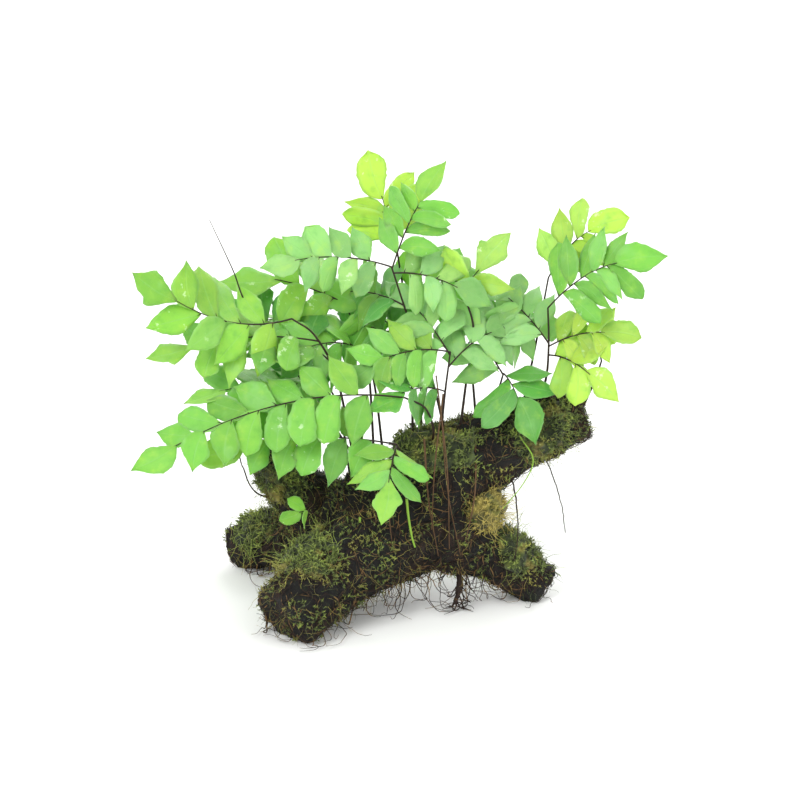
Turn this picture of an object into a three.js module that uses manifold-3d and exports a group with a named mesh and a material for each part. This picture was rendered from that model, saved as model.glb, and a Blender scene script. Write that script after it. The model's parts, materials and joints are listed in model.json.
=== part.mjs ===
// A fern growing on a forked piece of mossy driftwood.
// Millimetres, +Z up. The viewer's side is -Y, and +X is to the viewer's right.
import * as THREE from 'three';
import { mergeVertices } from 'three/addons/utils/BufferGeometryUtils.js';
import Module from 'manifold-3d';

const wasm = await Module();
wasm.setup();

// ---------------------------------------------------------------- driving dimensions

// Overall size. The tables of points below are drawn for these three sizes and stretch with them.
const drawn = { width: 314, depth: 207, height: 276 };
const plantWidth = 314;
const plantDepth = 207;
const plantHeight = 276;

// How much of a leg is cut off flat where it stands.
const footCut = 6;
// Gap between pieces that touch.
const clearance = 0.3;
// Detail finer than this is smoothed away where cuts leave slivers.
const sliver = 0.03;

// The driftwood's thickness, as radii in the table, times this girth.
const woodGirth = 1;
const barkLump = 0.09;

// The creeping stem on top of the wood.
const rhizomeRadius = 3.6;
const rhizomeSink = 2.2;

// Stalks, and the midrib that carries the leaflets.
const stalkBaseRadius = 1.1;
const stalkTopRadius = 0.8;
const shootTipRadius = 0.5;
const midribWidth = 1.6;
const midribThickness = 1.2;

// Leaflets. The length of each spray's leaflets is in its row. The second leaflet of a pair
// stands a share of the spacing further out, and they lean forward by an angle that grows.
// No part of a blade comes nearer to the midrib than the foot rise, and each foot starts inside
// the midrib: a pair's this far off its middle, and the last leaflet's sunk back from its end.
const leafletThickness = 0.8;
const leafletWidthShare = 0.56;
const leafletStagger = 0.35;
const leafletFootRise = 0.4;
const leafletFootInside = 0.3;
const lastLeafletSink = 1.5;
const leastFullness = 0.84;
const lastLeafletShare = 1.08;
const firstLeafletShare = 0.16;
const baseSweep = 0.3;
const tipSweep = 0.75;
// How far a leaflet hangs down for each millimetre out from the midrib.
const leafletDroop = 0.09;

// The young sprout starts this far inside the wood, and its midrib is bare up to its one pair.
const sproutSink = 2;
const sproutBareShare = 0.72;

// Moss cover.
const mossDepth = 5;

// Loose roots.
const rootRadius = 0.8;
const rootKnotRadius = 2.6;

// ---------------------------------------------------------------- tables

// Driftwood limbs: x, y, z and radius along each limb. A null height is worked out so that
// the limb stands on the ground.
const limbs = {
  trunk: [
    [-69, -62, null, 20], [-39, -35, 34, 22], [0, 0, 50, 30], [30, 10, 79, 27],
    [66, 15, 98, 20], [88, 19, 106, 18], [110, 23, 112, 13],
  ],
  right_leg: [[24, 0, 47, 24], [60, 4, 27, 15], [85, 6, null, 12]],
  left_stub: [[-30, 16, 40, 20], [-70, 44, 24, 15], [-98, 62, null, 15]],
  left_arm: [[-36, 10, 45, 20], [-63, 22, 64, 16], [-80, 30, 86, 13]],
};
const hub = { centre: [-5, 0, 50], radii: [45, 30, 33] };

// Where the creeping stem runs, as evenly spaced x with a y for each.
const rhizomePath = { fromX: -32, toX: 112, ys: [4, -2, -2, 2, 8, 12, 17, 21] };

// Stalks: x on the creeping stem where each comes up, then the points that it passes.
const stalks = {
  front_left: [18, [20, -16, 116], [15, -26, 134], [3, -30, 142]],
  low_left: [4, [3, -22, 100], [-2, -34, 114]],
  far_left: [-26, [-37, -8, 144], [-50, -12, 174], [-64, -14, 186]],
  left_mid: [-30, [-36, 6, 120], [-42, 0, 137]],
  upper_left: [-15, [-20, 18, 150], [-33, 20, 184]],
  high: [28, [17, 5, 150], [5, 5, 180], [-5, 2, 213]],
  top_back: [8, [6, 24, 158], [-2, 34, 215]],
  mid_right: [36, [40, 8, 140], [44, 8, 172], [37, 9, 196]],
  centre: [24, [27, -8, 138], [30, -8, 163]],
  right_centre: [51, [58, 3, 132], [62, 2, 146]],
  right: [84, [88, 8, 142], [89, 6, 164], [88, 0, 188]],
  right_back: [74, [82, 28, 155], [89, 24, 199]],
  right_end: [108, [117, 14, 136], [121, 10, 151]],
  back_left: [-9, [-16, 34, 130], [-25, 48, 150]],
  back_right: [46, [44, 36, 132], [42, 52, 148]],
  back_centre: [13, [12, 40, 136], [6, 56, 156]],
  bare_shoot: [-20, [-52, -6, 135], [-88, -5, 186], [-99, -8, 215], [-112, -10, 246]],
};

// Sprays of leaflets: the stalk each grows on and how far along it, where its tip lies from
// there, how much it arches up, the way its leaflets face, their length and the pairs of them.
const sprays = {
  front_left: ['front_left', 1, [-138, -42, -17], 13, [0, -0.75, 0.66], 27, 7],
  low_left: ['low_left', 1, [-94, -18, 6], 5, [0, -0.8, 0.6], 26, 5],
  front_drop: ['low_left', 0.97, [-5, -30, -12], 3, [0.1, -0.85, 0.5], 25, 3],
  far_left_high: ['far_left', 1, [-70, -31, 24], -9, [-0.2, -0.8, 0.55], 30, 4],
  left_mid: ['far_left', 0.62, [-78, -16, 1], 5, [0, -0.5, 0.85], 26, 4],
  left_low_mid: ['left_mid', 1, [-65, -30, 9], 4, [0, -0.5, 0.85], 24, 4],
  left_behind: ['left_mid', 0.93, [-44, 28, 26], 3, [0, -0.5, 0.85], 26, 3],
  upper_left: ['upper_left', 1, [-42, -5, 17], 2, [0, -0.7, 0.7], 32, 2],
  centre_left: ['upper_left', 0.55, [-34, -30, 12], 4, [0, -0.7, 0.7], 28, 3],
  high_left: ['high', 1, [-57, -12, 8], 4, [0, -0.9, 0.45], 22, 4],
  high_right: ['high', 0.96, [38, -3, -8], 3, [0, -0.9, 0.45], 24, 3],
  top_right: ['high', 0.99, [18, 7, 41], 4, [0.1, -0.35, 0.9], 26, 4],
  top_back: ['top_back', 1, [-9, 4, 31], 0, [0, -0.9, 0.4], 27, 3],
  centre_left_high: ['top_back', 0.48, [-30, -4, 30], 2, [0, -0.7, 0.7], 28, 3],
  mid_right: ['mid_right', 1, [10, -3, 14], 0, [0, -0.9, 0.4], 27, 1],
  right_high: ['right', 1, [40, -12, 32], 5, [-0.1, -0.9, 0.4], 27, 5],
  right_high_back: ['right_back', 1, [25, -4, 31], 5, [-0.1, -0.85, 0.5], 24, 3],
  right_mid_left: ['right', 0.66, [-24, 14, 24], 2, [0.2, -0.8, 0.55], 27, 3],
  right_mid: ['right', 0.63, [33, -12, 13], 3, [-0.1, -0.7, 0.7], 22, 3],
  right_low: ['right', 0.55, [24, -24, -4], 3, [-0.1, -0.9, 0.4], 24, 2],
  right_end: ['right_end', 1, [-6, 8, 24], 0, [-0.2, -0.9, 0.3], 20, 2],
  centre_right_low: ['right_centre', 1, [9, -15, -12], 2, [0.1, -0.9, 0.4], 28, 2],
  centre_right: ['right_centre', 0.97, [-14, 6, 22], 0, [0, -0.9, 0.4], 27, 2],
  centre_level: ['centre', 1, [-48, -14, -4], 5, [0, -0.85, 0.5], 24, 4],
  centre_high: ['centre', 0.96, [-21, 13, 26], 2, [0, -0.8, 0.6], 25, 3],
  centre_low: ['centre', 0.5, [-26, -20, 6], 3, [0, -0.85, 0.5], 24, 3],
  back_left: ['back_left', 1, [-70, 34, 0], 8, [-0.2, 0.5, 0.85], 26, 5],
  back_right: ['back_right', 1, [46, 32, 2], 8, [0.2, 0.5, 0.85], 25, 4],
  back_centre: ['back_centre', 1, [6, 44, 2], 8, [0, 0.5, 0.8], 25, 4],
};

// The small young spray that comes straight out of the wood: where, then as in the rows above.
const sprout = { foot: [-42, -20], reach: [-18, -16, 18], arch: 5, face: [0, -0.95, 0.3], leaf: 13 };

// Moss pads: the limb each lies on, from and to along it, and the side that it lies on.
const mossPads = {
  moss_front_leg: ['trunk', 0.04, 0.22, [-0.55, 0, 0.8]],
  moss_right_arm: ['trunk', 0.62, 0.97, [0.1, -0.75, 0.35]],
  moss_right_leg: ['right_leg', 0.3, 0.97, [0.2, -0.3, 0.9]],
  moss_left_stub: ['left_stub', 0.4, 0.98, [-0.2, -0.45, 0.8]],
  moss_left_arm: ['left_arm', 0.25, 0.96, [-0.5, -0.4, 0.6]],
};
const mossFork = { centre: [50, -1, 60], radii: [13, 15, 15] };
const mossCrown = { centre: [26, 2, 96], radii: [30, 19, 15] };

// Loose roots: points from the wood down, and the radius. The first point is inside the wood.
const roots = {
  root_knot: [[[30, -2, 30], [36, -10, 20], [35, -16, 10], [33, -20, 6]], rootKnotRadius],
  trailing_root_near: [[[66, 4, 84], [70, -12, 70], [71, -15, 48], [69, -16, 32]], rootRadius],
  trailing_root_far: [[[86, 14, 92], [92, 0, 82], [98, -4, 62], [100, -5, 46]], rootRadius],
  left_root: [[[-62, 18, 60], [-86, 8, 66], [-96, -4, 92], [-98, -8, 112]], rootRadius],
};

// ---------------------------------------------------------------- solids

const scaleX = plantWidth / drawn.width;
const scaleY = plantDepth / drawn.depth;
const scaleZ = plantHeight / drawn.height;

function point([x, y, z]) {
  return new THREE.Vector3(x * scaleX, y * scaleY, z * scaleZ);
}

function solidOf(geometry) {
  geometry.deleteAttribute('normal');
  geometry.deleteAttribute('uv');
  const merged = mergeVertices(geometry, 1e-4);
  return new wasm.Manifold(new wasm.Mesh({
    numProp: 3,
    vertProperties: merged.attributes.position.array,
    triVerts: Uint32Array.from(merged.index.array),
  }));
}

function geometryOf(solid) {
  const mesh = solid.getMesh();
  const geometry = new THREE.BufferGeometry();
  geometry.setAttribute('position', new THREE.BufferAttribute(mesh.vertProperties, 3));
  geometry.setIndex(new THREE.BufferAttribute(mesh.triVerts, 1));
  return geometry;
}

// The main body of a cut solid, without slivers and crumbs.
function largestBody(solid) {
  const bodies = solid.simplify(sliver).decompose();
  return bodies.reduce((best, body) => (body.volume() > best.volume() ? body : best));
}

function boxesMeet(a, b) {
  const one = a.boundingBox();
  const two = b.boundingBox();
  return [0, 1, 2].every((k) => one.min[k] <= two.max[k] && two.min[k] <= one.max[k]);
}

// The world axis that a direction is furthest from.
function crossAxis(direction) {
  const sizes = direction.toArray().map(Math.abs);
  const axis = [0, 0, 0];
  axis[sizes.indexOf(Math.min(...sizes))] = 1;
  return new THREE.Vector3(...axis);
}

// A closed tube along a curve. radiusAt takes the share along the curve and the angle round it.
function tube(curve, radiusAt, sides, steps) {
  const geometry = new THREE.CylinderGeometry(1, 1, 1, sides, steps);
  const places = geometry.attributes.position;
  const reference = crossAxis(curve.getPoint(1).sub(curve.getPoint(0)));
  const local = new THREE.Vector3();
  for (let i = 0; i < places.count; i += 1) {
    local.fromBufferAttribute(places, i);
    const along = THREE.MathUtils.clamp(local.y + 0.5, 0, 1);
    const forward = curve.getTangent(along);
    const side = forward.clone().cross(reference).normalize();
    const up = side.clone().cross(forward);
    const radius = radiusAt(along, Math.atan2(local.x, local.z));
    const placed = curve.getPoint(along);
    placed.addScaledVector(side, local.x * radius);
    placed.addScaledVector(up, local.z * radius);
    places.setXYZ(i, placed.x, placed.y, placed.z);
  }
  return solidOf(geometry);
}

// A ripple that turns once round and varies along, between -1 and 1.
function ripple(along, angle, phase) {
  return 0.6 * Math.sin(3 * angle + 9 * along + phase) + 0.4 * Math.sin(5 * angle - 13 * along + 2 * phase);
}

function lumpyBall(centre, radii, lump, phase, grow) {
  const geometry = new THREE.SphereGeometry(1, 14, 9);
  const places = geometry.attributes.position;
  const middle = point(centre);
  for (let i = 0; i < places.count; i += 1) {
    const unit = new THREE.Vector3().fromBufferAttribute(places, i);
    const turn = Math.atan2(unit.z, unit.x);
    const edge = Math.sqrt(Math.max(0, 1 - unit.y * unit.y));
    const swell = 1 + lump * edge * ripple(unit.y, turn, phase);
    const placed = new THREE.Vector3(
      unit.x * (radii[0] * swell + grow),
      unit.y * (radii[1] * swell + grow),
      unit.z * (radii[2] * swell + grow),
    ).add(middle);
    places.setXYZ(i, placed.x, placed.y, placed.z);
  }
  return solidOf(geometry);
}

// ---------------------------------------------------------------- driftwood

const ground = solidOf(new THREE.BoxGeometry(900, 900, 200).translate(0, 0, -100));

// The curve down the middle of a limb, and its radius at each share along it.
function limbShape(name) {
  const rows = limbs[name];
  const middles = rows.map(([x, y, z, radius]) => {
    const placed = point([x, y, z ?? 0]);
    if (z === null) placed.z = radius * woodGirth - footCut;
    return placed;
  });
  const curve = new THREE.CatmullRomCurve3(middles, false, 'catmullrom', 0.5);
  const radiusAt = (along) => {
    const place = along * (rows.length - 1);
    const before = Math.min(Math.floor(place), rows.length - 2);
    const mix = THREE.MathUtils.smoothstep(place - before, 0, 1);
    return THREE.MathUtils.lerp(rows[before][3], rows[before + 1][3], mix) * woodGirth;
  };
  return { curve, radiusAt };
}

function driftwood(grow) {
  let wood = lumpyBall(hub.centre, hub.radii.map((r) => r * woodGirth), barkLump, 0.4, grow);
  Object.keys(limbs).forEach((name, index) => {
    const { curve, radiusAt } = limbShape(name);
    const bark = (along, angle) => radiusAt(along) * (1 + barkLump * ripple(along, angle, index)) + grow;
    wood = wood.add(tube(curve, bark, 11, 2 * (limbs[name].length - 1)));
  });
  return wood.subtract(ground);
}

const wood = driftwood(0);
const woodCutter = driftwood(clearance);
const woodMesh = new THREE.Mesh(geometryOf(wood), new THREE.MeshBasicMaterial({ side: THREE.DoubleSide }));

// The top of the wood above a place on the ground.
function woodTop(x, y) {
  const high = point([0, 0, drawn.height]).z;
  const ray = new THREE.Raycaster(new THREE.Vector3(x, y, high), new THREE.Vector3(0, 0, -1));
  return ray.intersectObject(woodMesh)[0].point;
}

// ---------------------------------------------------------------- creeping stem

const rhizomeCurve = (() => {
  const { fromX, toX, ys } = rhizomePath;
  const points = ys.map((y, index) => {
    const spot = point([THREE.MathUtils.lerp(fromX, toX, index / (ys.length - 1)), y, 0]);
    const top = woodTop(spot.x, spot.y);
    top.z += rhizomeRadius - rhizomeSink;
    return top;
  });
  return new THREE.CatmullRomCurve3(points, false, 'catmullrom', 0.5);
})();

function rhizomeAt(x) {
  return rhizomeCurve.getPoint((x - rhizomePath.fromX) / (rhizomePath.toX - rhizomePath.fromX));
}

function rhizome(grow) {
  const radiusAt = (along, angle) => rhizomeRadius * (1 + 0.12 * ripple(3 * along, angle, 1)) + grow;
  return tube(rhizomeCurve, radiusAt, 7, 14);
}

// ---------------------------------------------------------------- stalks

const stalkCurves = Object.fromEntries(Object.entries(stalks).map(([name, [x, ...points]]) => [
  name, new THREE.CatmullRomCurve3([rhizomeAt(x), ...points.map(point)], false, 'catmullrom', 0.5),
]));

function stalk(name, grow) {
  const tip = name === 'bare_shoot' ? shootTipRadius : stalkTopRadius;
  const radiusAt = (along) => THREE.MathUtils.lerp(stalkBaseRadius, tip, along) + grow;
  return tube(stalkCurves[name], radiusAt, 5, 3 * (stalks[name].length - 1));
}

// ---------------------------------------------------------------- sprays of leaflets

// A leaflet's outline from its foot round to its foot again, as shares of its length along and
// of its width across. It is fuller on the side towards the spray's tip.
const leafletOutline = [[0.28, -0.42], [0.84, -0.4], [1, 0.08], [0.6, 0.52], [0.14, 0.34]];
// The last leaflet is narrow at its foot and widest past its middle.
const lastLeafletOutline = [[0.34, 0.2], [0.7, 0.5], [1, 0.1], [0.8, -0.42], [0.34, -0.2]];

function sprayCurve(start, reach, arch) {
  const end = start.clone().add(reach);
  const control = start.clone().add(end).multiplyScalar(0.5).add(new THREE.Vector3(0, 0, 2 * arch));
  return new THREE.QuadraticBezierCurve3(start, control, end);
}

// Leaflet length along a spray, as a share of the row's length: fullest a third of the way out.
function fullness(along) {
  return THREE.MathUtils.lerp(leastFullness, 1, Math.sin(Math.PI * (0.2 + 0.8 * along)));
}

// The outline of one leaflet laid out flat: x runs along the midrib and y out from it. Its foot
// is inside the midrib.
function leafletPoints(foot, sweep, hand, length, width, grow) {
  const wider = width + 2 * grow;
  const longer = length + grow;
  const nearest = midribWidth / 2 + grow + leafletFootRise;
  const footHalf = midribWidth / 2 + grow;
  const blade = leafletOutline.map(([along, across]) => {
    const out = along * longer;
    const over = across * wider;
    return new THREE.Vector2(
      foot + out * Math.sin(sweep) + over * Math.cos(sweep),
      hand * Math.max(nearest, out * Math.cos(sweep) - over * Math.sin(sweep)),
    );
  });
  const inside = hand * leafletFootInside;
  return [new THREE.Vector2(foot - footHalf, inside), ...blade, new THREE.Vector2(foot + footHalf, inside)];
}

// The outline of the last leaflet, straight ahead of the midrib's end, its foot inside the midrib.
function lastLeafletPoints(reach, length, width, grow) {
  const foot = reach - lastLeafletSink;
  const blade = lastLeafletOutline.map(([along, across]) => (
    new THREE.Vector2(reach + along * (length + grow), across * (width + 2 * grow))
  ));
  return [
    new THREE.Vector2(foot, leafletFootInside), ...blade, new THREE.Vector2(foot, -leafletFootInside),
  ];
}

// The outlines of all of a spray's leaflets, laid out flat.
function leafletOutlines({ curve, leaf, pairs, firstPair }, grow) {
  const reach = curve.getLength();
  const spacing = ((1 - firstPair) * reach) / (pairs + 0.3);
  const outlines = [];
  for (const hand of [1, -1]) {
    for (let pair = 0; pair < pairs; pair += 1) {
      const foot = firstPair * reach + spacing * (pair + (hand > 0 ? 0 : leafletStagger));
      const along = foot / reach;
      const sweep = THREE.MathUtils.lerp(baseSweep, tipSweep, along);
      const length = leaf * fullness(along);
      const width = Math.min(length * leafletWidthShare, 0.84 * spacing * Math.cos(sweep));
      outlines.push(leafletPoints(foot, sweep, hand, length, width, grow));
    }
  }
  const last = leaf * lastLeafletShare;
  outlines.push(lastLeafletPoints(reach, last, last * leafletWidthShare, grow));
  return outlines;
}

// Bends a flat shape, laid out with x along the midrib, along a spray's curve. The leaflets hang
// down a little.
function bentAlong({ curve, face }, flat) {
  const places = flat.attributes.position;
  const reach = curve.getLength();
  for (let i = 0; i < places.count; i += 1) {
    const [ahead, out, up] = [places.getX(i), places.getY(i), places.getZ(i)];
    const along = THREE.MathUtils.clamp(ahead / reach, 0, 1);
    const forward = curve.getTangent(along);
    const side = face.clone().cross(forward).normalize();
    const normal = forward.clone().cross(side);
    const placed = curve.getPoint(along).addScaledVector(forward, ahead - along * reach);
    placed.addScaledVector(side, out).addScaledVector(normal, up - leafletDroop * Math.abs(out));
    places.setXYZ(i, placed.x, placed.y, placed.z);
  }
  return solidOf(flat);
}

function midrib(spray, grow) {
  const reach = spray.curve.getLength();
  const [wide, thick] = [midribWidth + 2 * grow, midribThickness + 2 * grow];
  const flat = new THREE.BoxGeometry(reach + 2 * grow, wide, thick, 2 * spray.pairs + 2, 1, 1);
  return bentAlong(spray, flat.translate(reach / 2, 0, 0));
}

// A spray is its midrib and a thin plate for each leaflet.
function spraySolid(spray, grow) {
  const thickness = leafletThickness + 2 * grow;
  return leafletOutlines(spray, grow).reduce((solid, outline) => {
    const extruded = { depth: thickness, bevelEnabled: false };
    const plate = new THREE.ExtrudeGeometry(new THREE.Shape(outline), extruded);
    return solid.add(bentAlong(spray, plate.translate(0, 0, -thickness / 2)));
  }, midrib(spray, grow));
}

const sprayShapes = Object.fromEntries(Object.entries(sprays).map(([name, row]) => {
  const [stalkName, share, reach, arch, face, leaf, pairs] = row;
  const start = stalkCurves[stalkName].getPoint(share);
  const curve = sprayCurve(start, point(reach), arch);
  const facing = new THREE.Vector3(...face).normalize();
  return [name, { curve, face: facing, leaf, pairs, firstPair: firstLeafletShare }];
}));
sprayShapes.moss_sprout = (() => {
  const foot = point([...sprout.foot, 0]);
  const start = woodTop(foot.x, foot.y);
  start.z -= sproutSink;
  const curve = sprayCurve(start, point(sprout.reach), sprout.arch);
  const face = new THREE.Vector3(...sprout.face).normalize();
  return { curve, face, leaf: sprout.leaf, pairs: 1, firstPair: sproutBareShare };
})();

// ---------------------------------------------------------------- moss and roots

function mossPad(name) {
  const [limbName, from, to, lean] = mossPads[name];
  const { curve, radiusAt } = limbShape(limbName);
  const shift = new THREE.Vector3(...lean).normalize().multiplyScalar(mossDepth);
  const share = (along) => THREE.MathUtils.lerp(from, to, along);
  const points = [0, 0.25, 0.5, 0.75, 1].map((along) => curve.getPoint(share(along)).add(shift));
  const path = new THREE.CatmullRomCurve3(points);
  const puff = (along, angle) => {
    const ends = Math.sqrt(Math.sin(Math.PI * THREE.MathUtils.lerp(0.12, 0.88, along)));
    return radiusAt(share(along)) * ends * (1 + 0.07 * ripple(2 * along, angle, from * 9));
  };
  return tube(path, puff, 10, 6);
}

function mossBall({ centre, radii }, phase) {
  return lumpyBall(centre, radii, 0.12, phase, 0);
}

function root(name, grow) {
  const [points, radius] = roots[name];
  const curve = new THREE.CatmullRomCurve3(points.map(point));
  const radiusAt = (along) => radius * (1 - 0.45 * along) + grow;
  return tube(curve, radiusAt, 5, 8);
}

// ---------------------------------------------------------------- assembly

const finishes = {
  wood: { color: 0x241c16, roughness: 0.9 },
  rhizome: { color: 0x4a3320, roughness: 0.85 },
  stalk: { color: 0x2a1a14, roughness: 0.4 },
  leaf: { color: 0x86d84f, roughness: 0.45 },
  moss: { color: 0x5d6b30, roughness: 0.95 },
  dryMoss: { color: 0xb79a45, roughness: 0.95 },
  root: { color: 0x3a2a1e, roughness: 0.8 },
};

const fern = new THREE.Group();
// Solids that later pieces keep clear of, each a little thicker than the piece that it is for.
const cutters = [];

function fitted(solid, own) {
  let cut = solid;
  for (const cutter of cutters) {
    if (cutter.owner !== own && boxesMeet(cut, cutter.solid)) cut = cut.subtract(cutter.solid);
  }
  return cut;
}

function add(name, solid, finish) {
  const mesh = new THREE.Mesh(geometryOf(solid), new THREE.MeshStandardMaterial({ ...finish, metalness: 0 }));
  mesh.name = name;
  fern.add(mesh);
}

add('driftwood', wood, finishes.wood);
cutters.push({ owner: 'driftwood', solid: woodCutter });

add('rhizome', largestBody(fitted(rhizome(0), 'rhizome')), finishes.rhizome);
cutters.push({ owner: 'rhizome', solid: rhizome(clearance) });

for (const name of Object.keys(stalks)) {
  const title = name === 'bare_shoot' ? name : `stalk_${name}`;
  add(title, largestBody(fitted(stalk(name, 0), title)), finishes.stalk);
  cutters.push({ owner: title, solid: stalk(name, clearance) });
}

// Every midrib is kept whole, and the leaflets give way to one another where they would cross.
const midribCutters = Object.entries(sprayShapes).map(([name, spray]) => (
  { owner: name, solid: midrib(spray, clearance) }
));
cutters.push(...midribCutters);
for (const [index, [name, spray]] of Object.entries(sprayShapes).entries()) {
  const title = name === 'moss_sprout' ? name : `spray_${name}`;
  add(title, largestBody(fitted(spraySolid(spray, 0), name)), finishes.leaf);
  const room = spraySolid(spray, clearance);
  const laterRibs = midribCutters.slice(index + 1).filter(({ solid }) => boxesMeet(room, solid));
  cutters.push({ owner: name, solid: laterRibs.reduce((left, { solid }) => left.subtract(solid), room) });
}

for (const name of Object.keys(roots)) {
  add(name, largestBody(fitted(root(name, 0), name)), finishes.root);
  cutters.push({ owner: name, solid: root(name, clearance) });
}

const pads = Object.fromEntries(Object.keys(mossPads).map((name) => [name, mossPad(name)]));
pads.moss_crown = mossBall(mossCrown, 1.5);
pads.moss_fork = mossBall(mossFork, 2.5);
for (const [name, pad] of Object.entries(pads)) {
  const finish = name === 'moss_fork' ? finishes.dryMoss : finishes.moss;
  add(name, largestBody(fitted(pad.subtract(ground), name)), finish);
  cutters.push({ owner: name, solid: pad });
}

// The origin is under the middle of the whole piece, on the surface that it stands on.
const extent = new THREE.Box3().setFromObject(fern);
const middle = extent.getCenter(new THREE.Vector3());
fern.position.set(-middle.x, -middle.y, -extent.min.z);

export default fern;
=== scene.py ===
"""A fern on mossy driftwood: Blender looks around the packed frame, laid out as an add-on."""
import json
import math
import random
from collections import namedtuple

import bmesh
import bpy
import numpy as np
from mathutils import Color, Matrix, Vector, noise
from mathutils.bvhtree import BVHTree


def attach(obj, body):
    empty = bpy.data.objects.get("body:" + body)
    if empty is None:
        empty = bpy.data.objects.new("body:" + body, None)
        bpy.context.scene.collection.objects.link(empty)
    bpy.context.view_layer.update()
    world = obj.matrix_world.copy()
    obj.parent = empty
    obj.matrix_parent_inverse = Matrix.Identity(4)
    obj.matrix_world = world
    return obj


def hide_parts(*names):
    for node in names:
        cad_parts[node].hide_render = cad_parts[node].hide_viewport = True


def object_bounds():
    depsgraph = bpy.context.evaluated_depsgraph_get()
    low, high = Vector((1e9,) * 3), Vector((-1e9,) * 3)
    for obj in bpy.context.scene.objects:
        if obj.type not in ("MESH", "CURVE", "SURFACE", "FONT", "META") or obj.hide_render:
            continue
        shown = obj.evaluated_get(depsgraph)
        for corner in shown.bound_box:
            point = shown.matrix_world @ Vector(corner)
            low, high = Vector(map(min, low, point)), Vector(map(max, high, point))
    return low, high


bl_info = {
    "name": "Mossy Driftwood Fern",
    "version": (1, 0, 0),
    "blender": (4, 5, 0),
    "location": "3D View > Sidebar > Fern",
    "description": "Makes the fronds, stems, driftwood, moss and roots of a fern on driftwood",
    "category": "Add Mesh",
}

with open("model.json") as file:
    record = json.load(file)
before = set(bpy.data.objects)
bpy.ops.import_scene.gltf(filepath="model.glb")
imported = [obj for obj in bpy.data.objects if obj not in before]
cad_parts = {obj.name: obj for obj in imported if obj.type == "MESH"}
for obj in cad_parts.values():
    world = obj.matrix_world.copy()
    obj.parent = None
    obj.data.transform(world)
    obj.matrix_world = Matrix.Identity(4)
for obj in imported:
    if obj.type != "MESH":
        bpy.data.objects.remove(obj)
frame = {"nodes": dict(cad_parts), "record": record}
CAD_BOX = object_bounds()
ROOT = "root"
MM = 0.001

# ---- the plant's layout, millimetres

# The plant is drawn around its own point; the frame is moved so that its box is centred. The
# front foot's mount stands in both, and gives the move between them.
FRONT_FOOT_DRAWN = (-61.78, -55.16)

RHIZOME_FROM, RHIZOME_TO = -32, 112
RHIZOME_YS = (4, -2, -2, 2, 8, 12, 17, 21)
RHIZOME_RISE = 1.4

# Stalks: x on the creeping stem where each comes up, then the points that it passes.
STALKS = {
    "front_left": (18, (20, -16, 116), (15, -26, 134), (3, -30, 142)),
    "low_left": (4, (3, -22, 100), (-2, -34, 114)),
    "far_left": (-26, (-37, -8, 144), (-50, -12, 174), (-64, -14, 186)),
    "left_mid": (-30, (-36, 6, 120), (-42, 0, 137)),
    "upper_left": (-15, (-20, 18, 150), (-33, 20, 184)),
    "high": (28, (17, 5, 150), (5, 5, 180), (-5, 2, 213)),
    "top_back": (8, (6, 24, 158), (-2, 34, 215)),
    "mid_right": (36, (40, 8, 140), (44, 8, 172), (37, 9, 196)),
    "centre": (24, (27, -8, 138), (30, -8, 163)),
    "right_centre": (51, (58, 3, 132), (62, 2, 146)),
    "right": (84, (88, 8, 142), (89, 6, 164), (88, 0, 188)),
    "right_back": (74, (82, 28, 155), (89, 24, 199)),
    "right_end": (108, (117, 14, 136), (121, 10, 151)),
    "back_left": (-9, (-16, 34, 130), (-25, 48, 150)),
    "back_right": (46, (44, 36, 132), (42, 52, 148)),
    "back_centre": (13, (12, 40, 136), (6, 56, 156)),
    "bare_shoot": (-20, (-52, -6, 135), (-88, -5, 186), (-99, -8, 215), (-112, -10, 246)),
}

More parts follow.
